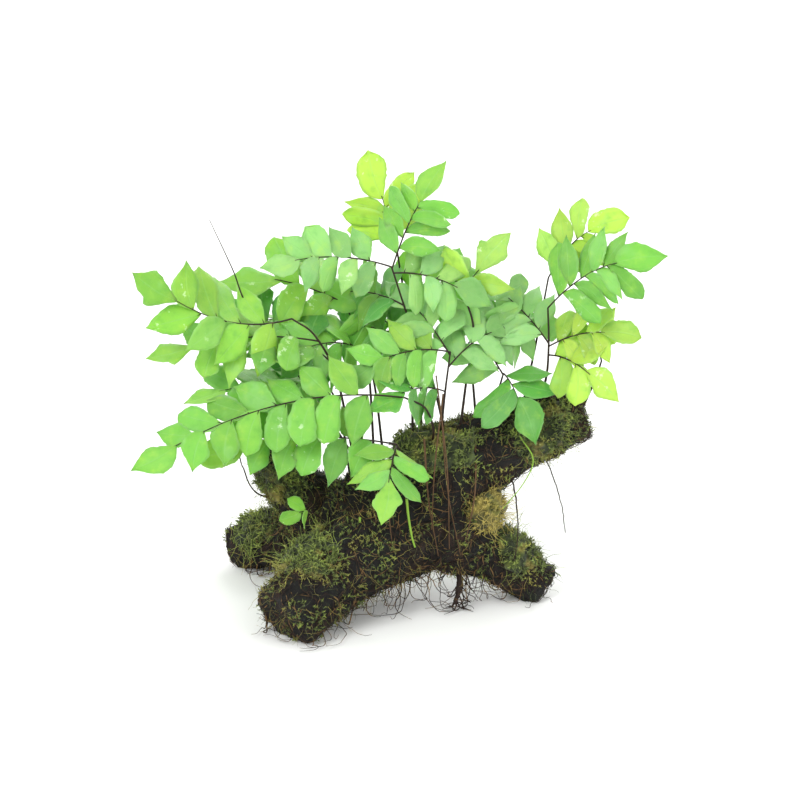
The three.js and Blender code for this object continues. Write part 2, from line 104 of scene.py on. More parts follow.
# Fronds: the stalk each grows on and how far along it, where its tip lies from there, how much
# it arches up, the way its leaflets face, their length, the pairs of them, their green and the
# shape of the last leaflet.
FRONDS = {
    "front_left": ("front_left", 1, (-138, -42, -17), 13, (0, -0.75, 0.66), 27, 7, "middle", "point"),
    "low_left": ("low_left", 1, (-94, -18, 6), 5, (0, -0.8, 0.6), 26, 5, "middle", "round"),
    "front_drop": ("low_left", 0.97, (-5, -30, -12), 3, (0.1, -0.85, 0.5), 25, 3, "middle", "lobed"),
    "far_left_high": ("far_left", 1, (-70, -31, 24), -9, (-0.2, -0.8, 0.55), 30, 4, "fresh", "lobed"),
    "left_mid": ("far_left", 0.62, (-78, -16, 1), 5, (0, -0.5, 0.85), 26, 4, "middle", "lobed"),
    "left_low_mid": ("left_mid", 1, (-65, -30, 9), 4, (0, -0.5, 0.85), 24, 4, "middle", "point"),
    "left_behind": ("left_mid", 0.93, (-44, 28, 26), 3, (0, -0.5, 0.85), 26, 3, "deep", "point"),
    "upper_left": ("upper_left", 1, (-42, -5, 17), 2, (0, -0.7, 0.7), 32, 2, "fresh", "lobed"),
    "centre_left": ("upper_left", 0.55, (-34, -30, 12), 4, (0, -0.7, 0.7), 28, 3, "middle", "round"),
    "high_left": ("high", 1, (-57, -12, 8), 4, (0, -0.9, 0.45), 22, 4, "pale", "point"),
    "high_right": ("high", 0.96, (38, -3, -8), 3, (0, -0.9, 0.45), 24, 3, "pale", "point"),
    "top_right": ("high", 0.99, (18, 7, 41), 4, (0.1, -0.35, 0.9), 26, 4, "middle", "point"),
    "top_back": ("top_back", 1, (-9, 4, 31), 0, (0, -0.9, 0.4), 27, 3, "golden", "round"),
    "centre_left_high": ("top_back", 0.48, (-30, -4, 30), 2, (0, -0.7, 0.7), 28, 3, "middle", "round"),
    "mid_right": ("mid_right", 1, (10, -3, 14), 0, (0, -0.9, 0.4), 27, 1, "golden", "lobed"),
    "right_high": ("right", 1, (40, -12, 32), 5, (-0.1, -0.9, 0.4), 27, 5, "middle", "point"),
    "right_high_back": ("right_back", 1, (25, -4, 31), 5, (-0.1, -0.85, 0.5), 24, 3, "golden", "round"),
    "right_mid_left": ("right", 0.66, (-24, 14, 24), 2, (0.2, -0.8, 0.55), 27, 3, "pale", "lobed"),
    "right_mid": ("right", 0.63, (33, -12, 13), 3, (-0.1, -0.7, 0.7), 22, 3, "golden", "round"),
    "right_low": ("right", 0.55, (24, -24, -4), 3, (-0.1, -0.9, 0.4), 24, 2, "golden", "point"),
    "right_end": ("right_end", 1, (-6, 8, 24), 0, (-0.2, -0.9, 0.3), 20, 2, "golden", "round"),
    "centre_right_low": ("right_centre", 1, (9, -15, -12), 2, (0.1, -0.9, 0.4), 28, 2, "deep", "point"),
    "centre_right": ("right_centre", 0.97, (-14, 6, 22), 0, (0, -0.9, 0.4), 27, 2, "pale", "lobed"),
    "centre_level": ("centre", 1, (-48, -14, -4), 5, (0, -0.85, 0.5), 24, 4, "middle", "point"),
    "centre_high": ("centre", 0.96, (-21, 13, 26), 2, (0, -0.8, 0.6), 25, 3, "pale", "lobed"),
    "centre_low": ("centre", 0.5, (-26, -20, 6), 3, (0, -0.85, 0.5), 24, 3, "deep", "lobed"),
    "back_left": ("back_left", 1, (-70, 34, 0), 8, (-0.2, 0.5, 0.85), 26, 5, "middle", "point"),
    "back_right": ("back_right", 1, (46, 32, 2), 8, (0.2, 0.5, 0.85), 25, 4, "middle", "point"),
    "back_centre": ("back_centre", 1, (6, 44, 2), 8, (0, 0.5, 0.8), 25, 4, "middle", "lobed"),
}
# Small fronds that fill the middle of the crown, in the same terms.
FILLING_FRONDS = {
    "middle_deep": ("high", 0.45, (-46, 16, 8), 4, (0, -0.8, 0.6), 26, 3, "deep", "lobed"),
    "middle_back": ("top_back", 0.7, (32, 10, 10), 4, (0, -0.85, 0.5), 26, 3, "middle", "point"),
    "left_deep": ("far_left", 0.45, (-50, 22, 22), 4, (0, -0.7, 0.7), 26, 3, "deep", "round"),
    "left_under": ("left_mid", 0.6, (-50, 20, 4), 4, (0, -0.7, 0.7), 24, 3, "deep", "lobed"),
    "right_pale": ("mid_right", 0.6, (34, 8, 6), 4, (0, -0.85, 0.5), 26, 3, "pale", "lobed"),
    "right_left": ("right_back", 0.5, (-32, 6, 12), 3, (0, -0.85, 0.5), 24, 3, "middle", "round"),
    "centre_pale": ("centre", 0.8, (26, 12, 18), 3, (0, -0.85, 0.5), 26, 2, "pale", "round"),
    "crown_deep": ("high", 0.75, (-34, 20, 2), 3, (0, -0.8, 0.6), 26, 3, "deep", "point"),
}
# The young frond in the moss: its foot on the ground and how deep it sinks, then the same terms.
SPROUT_FOOT, SPROUT_SINK = (-42, -20), 2
SPROUT_CURVE = ((-18, -16, 18), 5, (0, -0.95, 0.3))
SPROUT_LEAF, SPROUT_BARE = 13, 0.72

# Leaflets along a frond: the bare share at its foot, how far the second of a pair lags in shares
# of their spacing, the forward sweep in radians, and the last leaflet's length as a share.
BARE_SHARE = 0.16
STAGGER = 0.35
BASE_SWEEP, TIP_SWEEP = 0.3, 0.75
LEAST_FULLNESS = 0.84
LAST_SHARE = 1.06
# The sheet of leaflets waves along the midrib, by a share of the way out, and droops outwards.
WAVE, WAVE_LENGTH, DROOP = 0.06, 40, 0.005
CURVE_STEPS = 40

# Loose roots: the CAD node, points from the wood down, radius and taper.
ROOTS = {
    "root_knot": (((30, -2, 30), (36, -10, 20), (35, -16, 10), (33, -20, 6)), 2.6),
    "trailing_root_near": (((66, 4, 84), (70, -12, 70), (71, -15, 48), (69, -16, 32)), 0.55),
    "trailing_root_far": (((86, 14, 92), (92, 0, 82), (98, -4, 62), (100, -5, 46)), 0.45),
    "left_root": (((-62, 18, 60), (-86, 8, 66), (-96, -4, 92), (-98, -8, 112)), 0.6),
}

# Old brown stalks that hang down in front of the wood: where each starts and ends.
OLD_STALKS = (
    ((21, -14, 152), (26, -36, 44)), ((24, -10, 138), (22, -34, 60)),
    ((27, -14, 126), (33, -32, 38)), ((14, -16, 120), (20, -36, 48)),
    ((46, -6, 112), (38, -28, 54)), ((-4, -24, 96), (-2, -34, 56)),
)
# Young green strands: the points of each, its radius.
GREEN_STRANDS = (
    (((4, -31, 78), (5, -33, 68), (7, -35, 56), (9, -36, 49)), 0.9),
    (((-24, -30, 66), (-24, -33, 58), (-24, -35, 47)), 0.8),
    (((72, -4, 108), (80, -12, 96), (74, -16, 82), (62, -16, 66)), 0.45),
)

# Old stalks: their radii at the foot are drawn between these, and end in this, millimetres.
OLD_STALK_RADII, OLD_STALK_TIP = (0.3, 0.7), 0.25
# Lumps: cell size in millimetres, height, and whether they are ridges. The bark's heights are
# shares of its lump height, and the others are in millimetres.
BARK_LAYERS = ((15, 1, False), (6, 0.8, True), (2.6, 0.45, True))
RHIZOME_LAYERS = ((5, 0.5, False), (1.8, 0.35, True))
PAD_LAYERS = ((9, 3.2, False), (4, 1.5, False), (1.6, 0.5, True))
# Mesh grain of the creeping stem and of the moss pads, millimetres.
RHIZOME_GRAIN, PAD_GRAIN = 0.7, 1.1
# Papery scales of the creeping stem: how many, and their radii from foot to tip in millimetres.
SCALE_COUNT, SCALE_RADII = 500, (0.22, 0.16, 0.04)
# How many strands of each kind, and how many spots are tried for the hanging roots.
FUZZ_COUNT, FELT_ROOTS, KNOT_ROOTS, HANGING_ROOTS, HANGING_TRIES = 1100, 620, 26, 260, 1800
SPRIG_LEAVES, ROOT_STEPS = 6, 22
# Loose strands keep this far off the floor, and pass the plant's box by no more than this.
FLOOR_GAP, SIDE_SPARE = 0.3, 7
# Where each run of random draws starts.
OLD_STALK_SEED, SCALE_SEED, PAD_SEED, WOOD_MOSS_SEED = 5, 11, 100, 200
ROOT_SEED, FELT_SEED, HANGING_SEED = 300, 400, 450

MOSS_PADS = ("moss_front_leg", "moss_right_arm", "moss_right_leg", "moss_left_stub",
             "moss_left_arm", "moss_crown", "moss_fork")
PAD_BRIGHTNESS, FUZZ_BRIGHTNESS = 0.15, 0.32
# A pad's strands: length and radius in millimetres.
PAD_STRAND, FUZZ_RADIUS = (15, 0.17), 0.13
# Sprigs for each square centimetre of bare wood, and their size as a share.
WOOD_SPRIGS, WOOD_SPRIG_SHARE = 13, 0.85
# Loose strands for each square centimetre of a pad, and how bright they are, where unusual.
USUAL_STRAGGLE = (3.5, 0.75)
STRAGGLE = {"moss_fork": (7, 0.75), "moss_left_stub": (6, 1.1), "moss_front_leg": (4.5, 1.0)}


# ---- settings

def colour_setting(name, description, red, green, blue):
    """A colour in display values from 0 to 255."""
    return bpy.props.FloatVectorProperty(
        name=name, description=description, subtype="COLOR_GAMMA", size=3, min=0, max=1,
        default=(red / 255, green / 255, blue / 255))


def length_setting(name, description, millimetres, least=0):
    return bpy.props.FloatProperty(
        name=name, description=description, subtype="DISTANCE", unit="LENGTH", min=least * MM,
        default=millimetres * MM)


class FernLeafSettings(bpy.types.PropertyGroup):
    """Sizes and greens of the leaflets."""

    fresh: colour_setting("Fresh green", "Young bright leaflets", 118, 174, 54)
    golden: colour_setting("Golden green", "Leaflets with the most light", 162, 196, 66)
    middle: colour_setting("Middle green", "Most leaflets", 102, 166, 58)
    # Deep green, partly painted shade: fronds in the middle of the crown and behind or under others get
    # it, so they stand darker there. It also mottles every leaflet as its own darker tone.
    deep: colour_setting("Deep green", "Older leaflets near the middle", 58, 134, 44)
    # Pale bluish green, partly painted sheen: fronds given this green and the pale bluish patches on
    # the leaflets are painted sheen. On the rims and midlines of the leaflets it is their own paler
    # colour.
    pale: colour_setting("Pale green", "Leaflets with a bluish bloom", 128, 178, 108)
    # Painted highlight: a near-white glint laid in small flecks on a few leaflets.
    glint: colour_setting("Wet glint", "Pale wet patches on a few leaflets", 222, 240, 208)
    thickness: length_setting("Blade thickness", "Thickness of a leaflet", 0.35)
    width_share: bpy.props.FloatProperty(
        name="Width share", description="Leaflet width as a share of its length",
        subtype="FACTOR", min=0.2, max=1, default=0.74)
    rib_radius: length_setting("Midrib radius", "Radius of a midrib where it starts", 0.55)


class FernStemSettings(bpy.types.PropertyGroup):
    """Sizes and colours of stalks and of the creeping stem."""

    stalk_radius: length_setting("Stalk radius", "Radius of a stalk at its foot", 0.85)
    tip_radius: length_setting("Stalk tip radius", "Radius of a stalk at its top", 0.55)
    shoot_tip_radius: length_setting("Shoot tip radius", "Radius of the bare shoot's tip", 0.2)
    dark: colour_setting("Dark stalk", "Glossy black-brown of grown stalks", 28, 15, 13)
    old: colour_setting("Old stalk", "Dry brown of old stalks", 92, 68, 44)
    green: colour_setting("Green stalk", "Young green strands", 128, 168, 58)


class FernWoodSettings(bpy.types.PropertyGroup):
    """Surface of the driftwood."""

    grain: length_setting("Mesh grain", "Size of the finest modelled lump", 1.5)
    lump: length_setting("Lump height", "Height of the large lumps", 1.9)
    dark: colour_setting("Wet bark", "Dark wet wood", 17, 15, 14)
    warm: colour_setting("Warm bark", "Reddish-brown patches", 64, 42, 29)
    grey: colour_setting("Worn bark", "Blue-grey worn ridges", 70, 80, 76)


class FernMossSettings(bpy.types.PropertyGroup):
    """Moss cover."""

    sprig_size: length_setting("Sprig size", "Height of a moss sprig", 3.6)
    density: bpy.props.FloatProperty(
        name="Sprigs per square centimetre", description="How close the sprigs stand",
        min=0, default=26)
    dark: colour_setting("Dark moss", "Moss in the gaps", 25, 34, 18)
    olive: colour_setting("Olive moss", "Most of the moss", 92, 106, 46)
    tips: colour_setting("Moss tips", "Bright tips", 166, 184, 84)
    dry: colour_setting("Dry moss", "Straw-coloured moss", 182, 166, 84)


class FernRootSettings(bpy.types.PropertyGroup):
    """Fine roots on and under the wood."""

    felt_radius: length_setting("Felt radius", "Radius of a fine root", 0.24)
    dark: colour_setting("Dark root", "Fine dark roots", 40, 28, 22)
    pale: colour_setting("Pale root", "Fine straw-coloured roots", 128, 100, 62)


class FernStageSettings(bpy.types.PropertyGroup):
    """Floor, lights and camera."""

    camera_distance: length_setting("Camera distance", "From the middle of the plant", 2400, 500)
    view_width: length_setting("View width", "Width that the picture takes in", 480, 100)
    elevation: bpy.props.FloatProperty(
        name="Elevation", description="How far the camera looks down",
        subtype="ANGLE", unit="ROTATION", default=math.radians(20))
    floor: colour_setting("Floor", "Pale floor", 246, 247, 245)


SETTINGS = {
    "fern_leaf": FernLeafSettings,
    "fern_stem": FernStemSettings,
    "fern_wood": FernWoodSettings,
    "fern_moss": FernMossSettings,
    "fern_root": FernRootSettings,
    "fern_stage": FernStageSettings,
}


# ---- places and curves

def find_shift():
    """The move from the drawing to the frame."""
    mount = next(m for m in frame["record"]["mounts"] if m["name"] == "front_foot")
    x, y, z = mount["pos_m"]
    return Vector((x - FRONT_FOOT_DRAWN[0] * MM, y - FRONT_FOOT_DRAWN[1] * MM, z))


SHIFT = find_shift()


def drawn(place):
    """A drawn point, in the frame."""
    return Vector(place) * MM + SHIFT


def tree_of(mesh_object):
    """A search tree over an object's faces."""
    return BVHTree.FromPolygons(
        [vertex.co for vertex in mesh_object.data.vertices],
        [polygon.vertices for polygon in mesh_object.data.polygons])


WOOD_TREE = tree_of(frame["nodes"]["driftwood"])


def wood_top(x, y):
    """The top of the wood over a drawn place on the ground."""
    above = drawn((x, y, 0))
    above.z = CAD_BOX[1][2] + 1
    return WOOD_TREE.ray_cast(above, Vector((0, 0, -1)))[0]


def smooth_point(points, share):
    """The point a share of the way along a smooth curve through points."""
    place = min(max(share, 0), 1) * (len(points) - 1)
    index = min(int(place), len(points) - 2)
    mix = place - index
    start, end = points[index], points[index + 1]
    before = points[index - 1] if index else 2 * start - end
    after = points[index + 2] if index + 2 < len(points) else 2 * end - start
    leave, arrive = (end - before) / 2, (after - start) / 2
    return ((2 * mix ** 3 - 3 * mix ** 2 + 1) * start + (mix ** 3 - 2 * mix ** 2 + mix) * leave
            + (3 * mix ** 2 - 2 * mix ** 3) * end + (mix ** 3 - mix ** 2) * arrive)


def smooth_path(points, steps):
    return [smooth_point(points, step / steps) for step in range(steps + 1)]


def rhizome_points():
    count = len(RHIZOME_YS) - 1
    points = []
    for index, y in enumerate(RHIZOME_YS):
        x = RHIZOME_FROM + (RHIZOME_TO - RHIZOME_FROM) * index / count
        points.append(wood_top(x, y) + Vector((0, 0, RHIZOME_RISE * MM)))
    return points


RHIZOME = rhizome_points()


def stalk_points(name):
    x, *points = STALKS[name]
    foot = smooth_point(RHIZOME, (x - RHIZOME_FROM) / (RHIZOME_TO - RHIZOME_FROM))
    return [foot] + [drawn(point) for point in points]


def lerp(low, high, share):
    return low + (high - low) * share


class FrondCurve:
    """A frond's midrib, and the flat sheet of leaflets bent along it. Lengths in metres."""

    def __init__(self, start, reach, arch, face):
        self.start = start
        self.end = start + Vector(reach) * MM
        self.control = (self.start + self.end) / 2 + Vector((0, 0, 2 * arch * MM))
        self.face = Vector(face).normalized()
        places = [self.point(step / CURVE_STEPS) for step in range(CURVE_STEPS + 1)]
        self.length = sum((b - a).length for a, b in zip(places, places[1:]))

    def point(self, share):
        rest = 1 - share
        return rest * rest * self.start + 2 * rest * share * self.control + share * share * self.end

    def forward(self, share):
        rest = 1 - share
        slope = rest * (self.control - self.start) + share * (self.end - self.control)
        return slope.normalized()

    def place(self, ahead, out, up):
        """Where a point of the flat sheet comes: ahead along the midrib, out from it, and up."""
        share = min(max(ahead / self.length, 0), 1)
        forward = self.forward(share)
        side = self.face.cross(forward).normalized()
        normal = forward.cross(side)
        wave = abs(out) * WAVE * math.sin(2 * math.pi * ahead / (WAVE_LENGTH * MM))
        lift = up + wave - DROOP / MM * out * out
        past_end = ahead - share * self.length
        return self.point(share) + forward * past_end + side * out + normal * lift


# ---- meshes

def linked(name, data):
    """A new object in the scene."""
    thing = bpy.data.objects.new(name, data)
    bpy.context.scene.collection.objects.link(thing)
    return thing


def mesh_from(bm, name):
    """A mesh of its own from a bmesh, which is freed."""
    mesh = bpy.data.meshes.new(name)
    bm.to_mesh(mesh)
    bm.free()
    return mesh


def add_piece(name, mesh, finish, slot_name, *nodes):
    """Links a mesh with its finish as a piece that stands for CAD nodes."""
    mesh.materials.append(finish)
    piece = linked(name, mesh)
    mesh.polygons.foreach_set("use_smooth", [True] * len(mesh.polygons))
    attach(piece, ROOT)
    if nodes:
        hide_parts(*nodes)
    return piece


def final_mesh(thing):
    """A mesh of its own with what an object and its modifiers show. Removes the object."""
    bpy.context.view_layer.update()
    graph = bpy.context.evaluated_depsgraph_get()
    mesh = bpy.data.meshes.new_from_object(thing.evaluated_get(graph))
    source = thing.data
    bpy.data.objects.remove(thing)
    if isinstance(source, bpy.types.Curve):
        bpy.data.curves.remove(source)
    else:
        bpy.data.meshes.remove(source)
    return mesh


def random_direction(rng):
    return Vector((rng.gauss(0, 1), rng.gauss(0, 1), rng.gauss(0, 1))).normalized()


def random_move(rng, *ranges):
    """A move drawn between a low and a high for each axis, given in millimetres."""
    return Vector([rng.uniform(low, high) for low, high in ranges]) * MM


def strands_mesh(name, strands, roundness=0):
    """One mesh of tapered strands. Each strand is its points and the radius at each."""
    curve = bpy.data.curves.new(name, "CURVE")
    curve.dimensions = "3D"
    curve.bevel_depth = 1
    curve.bevel_resolution = roundness
    curve.use_fill_caps = True
    for points, radii in strands:
        spline = curve.splines.new("POLY")
        spline.points.add(len(points) - 1)
        flat = [value for point in points for value in (*point, 1)]
        spline.points.foreach_set("co", flat)
        spline.points.foreach_set("radius", radii)
        spline.use_smooth = True
    return final_mesh(linked(name, curve))


def add_strands(name, strands, roundness, finish, slot_name, *nodes):
    """Links tapered strands as a piece that stands for CAD nodes."""
    add_piece(name, strands_mesh(name, strands, roundness), finish, slot_name, *nodes)


def tapered(points, base, tip, steps):
    """A strand along a smooth curve through points."""
    return smooth_path(points, steps), [lerp(base, tip, step / steps) for step in range(steps + 1)]


def merged_copy(name, node, grain):
    """A CAD node's shape as one even mesh of small faces, for modelling."""
    bm = bmesh.new()
    bm.from_mesh(frame["nodes"][node].data)
    bmesh.ops.remove_doubles(bm, verts=bm.verts, dist=0.01 * MM)
    thing = linked(name, mesh_from(bm, name))
    remesh = thing.modifiers.new("Even faces", "REMESH")
    remesh.mode = "VOXEL"
    remesh.voxel_size = grain
    return final_mesh(thing)


def roughen(mesh, rows, height_unit=MM, floor=0):
    """Moves vertices along their normals by layers of noise: (cell size, height, ridged)."""
    layers = [(cell * MM, height * height_unit, ridged) for cell, height, ridged in rows]
    bm = bmesh.new()
    bm.from_mesh(mesh)
    bm.normal_update()
    moves = []
    for vertex in bm.verts:
        height = 0
        for cell, amount, ridged in layers:
            value = noise.noise(vertex.co / cell)
            height += amount * ((1 - 2 * abs(value)) if ridged else value)
        moves.append(vertex.normal * height)
    for vertex, move in zip(bm.verts, moves):
        vertex.co += move
        vertex.co.z = max(vertex.co.z, floor)
    bmesh.ops.recalc_face_normals(bm, faces=bm.faces)
    bm.to_mesh(mesh)
    bm.free()


def polygon_areas(mesh):
    areas = np.zeros(len(mesh.polygons))
    mesh.polygons.foreach_get("area", areas)
    return areas


def surface_spots(mesh, count, rng):
    """Evenly spread random points on a mesh, each with its normal."""
    areas = polygon_areas(mesh)
    shares = np.cumsum(areas) / areas.sum()
    spots = []
    for _ in range(count):
        polygon = mesh.polygons[int(np.searchsorted(shares, rng.random()))]
        corners = [mesh.vertices[index].co for index in polygon.vertices]
        weights = [rng.random() for _ in corners]
        total = sum(weights)
        spot = sum((corner * weight for corner, weight in zip(corners, weights)), Vector())
        spots.append((spot / total, polygon.normal.copy()))
    return spots


def count_on(mesh, per_square_cm):
    """How many stand on a mesh at so many for each square centimetre."""
    return int(float(polygon_areas(mesh).sum()) * 1e4 * per_square_cm)


def mark_tips(mesh, tips):
    """Marks the vertices from 0, deep in the moss, to 1 at its tips."""
    values = np.full(len(mesh.vertices), tips, dtype=float)
    mesh.attributes.new("tip", "FLOAT", "POINT").data.foreach_set("value", values)


# ---- shader maths

class Signal:
    """A shader socket with arithmetic: each operation adds a Math node."""

    def __init__(self, finish, socket):
        self.finish = finish
        self.socket = socket

    def math(self, operation, first, second=0.0):
        return self.finish.node("ShaderNodeMath", {"operation": operation}, {0: first, 1: second})

    def __add__(self, other):
        return self.math("ADD", self, other)

    def __sub__(self, other):
        return self.math("SUBTRACT", self, other)

    def __rsub__(self, other):
        return self.math("SUBTRACT", other, self)

    def __mul__(self, other):
        return self.math("MULTIPLY", self, other)

    def __truediv__(self, other):
        return self.math("DIVIDE", self, other)

    __radd__ = __add__
    __rmul__ = __mul__

    def sine(self):
        return self.math("SINE", self)

    def size(self):
        return self.math("ABSOLUTE", self)


class Finish:
    """A material in the making."""

    def __init__(self, name, roughness, specular):
        self.material = bpy.data.materials.new(name)
        self.material.use_nodes = True
        self.tree = self.material.node_tree
        self.shader = self.tree.nodes["Principled BSDF"]
        self.shader.inputs["Specular IOR Level"].default_value = specular
        self.shader.inputs["Roughness"].default_value = roughness

    def node(self, kind, settings=None, inputs=None, output=0):
        """Adds a node: its settings first, then the value or link of each input."""
        made = self.tree.nodes.new(kind)
        for key, value in (settings or {}).items():
            setattr(made, key, value)
        for key, value in (inputs or {}).items():
            if isinstance(value, Signal):
                self.tree.links.new(value.socket, made.inputs[key])
            else:
                made.inputs[key].default_value = value
        return Signal(self, made.outputs[output])

    def noise(self, cell, detail, roughness=0.55, distortion=0.0):
        """Noise from 0 to 1 with lumps of a size in metres."""
        place = self.node("ShaderNodeTexCoord", output="Object")
        inputs = {"Vector": place, "Scale": 1 / cell, "Detail": detail, "Roughness": roughness,
                  "Distortion": distortion}
        return self.node("ShaderNodeTexNoise", None, inputs, "Fac")

    def between(self, value, low, high):
        """0 where value is under low, 1 over high, and a smooth step between."""
        inputs = {"Value": value, "From Min": low, "From Max": high}
        return self.node("ShaderNodeMapRange", {"interpolation_type": "SMOOTHSTEP"}, inputs)

    def mix(self, first, second, share):
        return self.node("ShaderNodeMix", {"data_type": "RGBA"}, {0: share, 6: first, 7: second}, 2)

    def layered(self, colour, *layers):
        """Lays colour settings over a colour, each with its share."""
        for setting, share in layers:
            colour = self.mix(colour, shade(setting), share)
        return colour

    def attribute(self, name, output="Fac"):
        return self.node("ShaderNodeAttribute", {"attribute_name": name}, None, output)

    def feed(self, socket, value):
        self.tree.links.new(value.socket, self.shader.inputs[socket])

    def bump(self, height, distance, strength):
        inputs = {"Height": height, "Distance": distance, "Strength": strength}
        self.feed("Normal", self.node("ShaderNodeBump", None, inputs, "Normal"))

    def set(self, **values):
        for key, value in values.items():
            self.shader.inputs[key.replace("_", " ")].default_value = value


def shade(setting):
    """A display colour setting as a shader colour."""
    return (*Color(setting).from_srgb_to_scene_linear(), 1)


def leaf_finish(name, settings):
    """Thin waxy leaflets: their own greens, fan veins, mottling, a pale rim, patches of painted sheen
    and a few near-white painted glints.
    """
    leaf = Finish(name, 0.42, 0.45)
    base = leaf.attribute("leaf_green", "Color")
    blade = leaf.node("ShaderNodeUVMap", {"uv_map": "blade"})
    across = leaf.node("ShaderNodeSeparateXYZ", None, {0: blade}, "X") - 0.5
    along = leaf.node("ShaderNodeSeparateXYZ", None, {0: blade}, "Y")
    fan = across / (along * 0.8 + 0.35)
    veins = leaf.between((fan * 150).sine(), 0.35, 1)
    crease = 1 - leaf.between(across.size(), 0.0, 0.05)
    mottle = leaf.noise(7 * MM, 3)
    fine = leaf.noise(1.1 * MM, 2)
    rim = leaf.between(across.size(), 0.36, 0.5)
    # Painted sheen: pale bluish patches of painted highlight on the leaflets, which are also made a
    # little rougher.
    painted_sheen = leaf.between(leaf.noise(13 * MM, 2), 0.56, 0.72)
    # Painted highlight: the next two masks place the near-white painted glints, small flecks within a
    # few large patches.
    film = leaf.between(leaf.noise(6 * MM, 4, 0.7), 0.6, 0.66)
    wet = leaf.between(leaf.noise(45 * MM, 1), 0.52, 0.6)
    colour = leaf.layered(
        base,
        (settings.deep, leaf.between(mottle, 0.5, 0.78) * 0.38),
        (settings.golden, leaf.between(1 - mottle, 0.5, 0.8) * 0.35),
        (settings.pale, rim * 0.3 + crease * 0.22),
        (settings.golden, veins * 0.14),
        (settings.pale, painted_sheen * 0.3),
        (settings.glint, film * wet * 0.4))
    leaf.feed("Base Color", colour)
    leaf.feed("Roughness", 0.36 + fine * 0.16 + painted_sheen * 0.12)
    leaf.bump(veins * 0.3 - crease * 0.8 + mottle * 0.9 + fine * 0.25, 0.35 * MM, 0.5)
    # Painted light: the leaflets glow faintly in their own colour, though they are no lamp, which lifts
    # their shaded sides.
    leaf.feed("Emission Color", colour)
    leaf.set(Emission_Strength=0.05, Subsurface_Weight=0.35, Subsurface_Scale=2 * MM)
    leaf.set(Subsurface_Radius=(0.6, 1.0, 0.25), Sheen_Weight=0.05)
    return leaf.material


def stalk_finish(name, main, scar, roughness):
    """Wiry glossy stalks with fine lengthwise scratches and paler scars."""
    stalk = Finish(name, roughness, 0.3)
    streaks = stalk.noise(1.6 * MM, 3)
    scars = stalk.between(stalk.noise(5 * MM, 2), 0.6, 0.72)
    colour = stalk.layered(shade(main), (scar, scars * 0.3), (scar, streaks * 0.15))
    stalk.feed("Base Color", colour)
    stalk.feed("Roughness", roughness - 0.1 + streaks * 0.3)
    stalk.bump(streaks, 0.2 * MM, 0.5)
    return stalk.material


def bark_finish(name, settings, moss):
    """Dark wet wood with reddish patches, worn ridges, a green film and pale specks."""
    bark = Finish(name, 0.85, 0.35)
    lumps = bark.noise(14 * MM, 5, 0.6)
    fibre = bark.noise(2.2 * MM, 6, 0.68, distortion=1.2)
    grit = bark.noise(0.7 * MM, 4, 0.7)
    warm = bark.between(bark.noise(22 * MM, 4, distortion=0.6), 0.5, 0.64)
    green = bark.between(bark.noise(9 * MM, 4, 0.65), 0.54, 0.68)
    speck = bark.between(grit, 0.56, 0.7) * bark.between(bark.noise(30 * MM, 2), 0.42, 0.55)
    bark.feed("Base Color", bark.layered(
        shade(settings.dark),
        (settings.warm, warm * bark.between(fibre, 0.35, 0.7)),
        (settings.grey, bark.between(fibre * 0.6 + lumps * 0.4, 0.56, 0.7) * 0.55),
        (moss.dark, green * 0.7),
        (moss.olive, green * bark.between(grit, 0.55, 0.8) * 0.4),
        (settings.grey, speck * 0.6)))
    bark.feed("Roughness", 0.6 + grit * 0.35)
    bark.bump(fibre + grit * 0.5 + lumps * 0.6, 1.2 * MM, 0.9)
    return bark.material


def moss_finish(name, dark, body, tips, warm):
    """Moss: dark where it is deep, bright at the tips, with patches of other tones."""
    moss = Finish(name, 0.85, 0.25)
    tip = moss.attribute("tip")
    patch = moss.between(moss.noise(9 * MM, 3), 0.42, 0.62)
    other = moss.between(moss.noise(17 * MM, 2), 0.52, 0.66)
    grit = moss.noise(0.9 * MM, 3)
    moss.feed("Base Color", moss.layered(
        shade(dark),
        (body, moss.between(tip + patch * 0.25 + grit * 0.3, 0.2, 0.85)),
        (tips, moss.between(tip * 0.8 + patch * 0.35, 0.6, 1.15) * 0.85),
        (warm, other * 0.45)))
    moss.feed("Roughness", 0.7 + grit * 0.25)
    moss.bump(grit, 0.5 * MM, 0.6)
    moss.set(Sheen_Weight=0.15, Sheen_Roughness=0.6)
    return moss.material


def root_finish(name, dark, pale, pale_share):
    """Fine roots, some dark and some straw-coloured."""
    root = Finish(name, 0.75, 0.3)
    low = 0.62 - pale_share * 0.3
    which = root.between(root.noise(6 * MM, 2), low, low + 0.16)
    grit = root.noise(1.2 * MM, 3)
    root.feed("Base Color", root.layered(shade(dark), (pale, which), (dark, grit * 0.35)))
    root.feed("Roughness", 0.6 + grit * 0.3)
    root.bump(grit, 0.2 * MM, 0.5)
    return root.material


def finish_named(name, make, *values):
    """A finish by name, made the first time that it is asked for."""
    return bpy.data.materials.get(name) or make(name, *values)


def dark_stalk_finish(stems):
    return finish_named("dark_stalk", stalk_finish, stems.dark, stems.old, 0.45)


def old_stalk_finish(stems):
    return finish_named("old_stalk", stalk_finish, stems.old, stems.dark, 0.7)


def wood_finish(scene):
    return finish_named("driftwood_bark", bark_finish, scene.fern_wood, scene.fern_moss)


# ---- leaflets

BLADE_ROWS, BLADE_COLUMNS = 18, 6
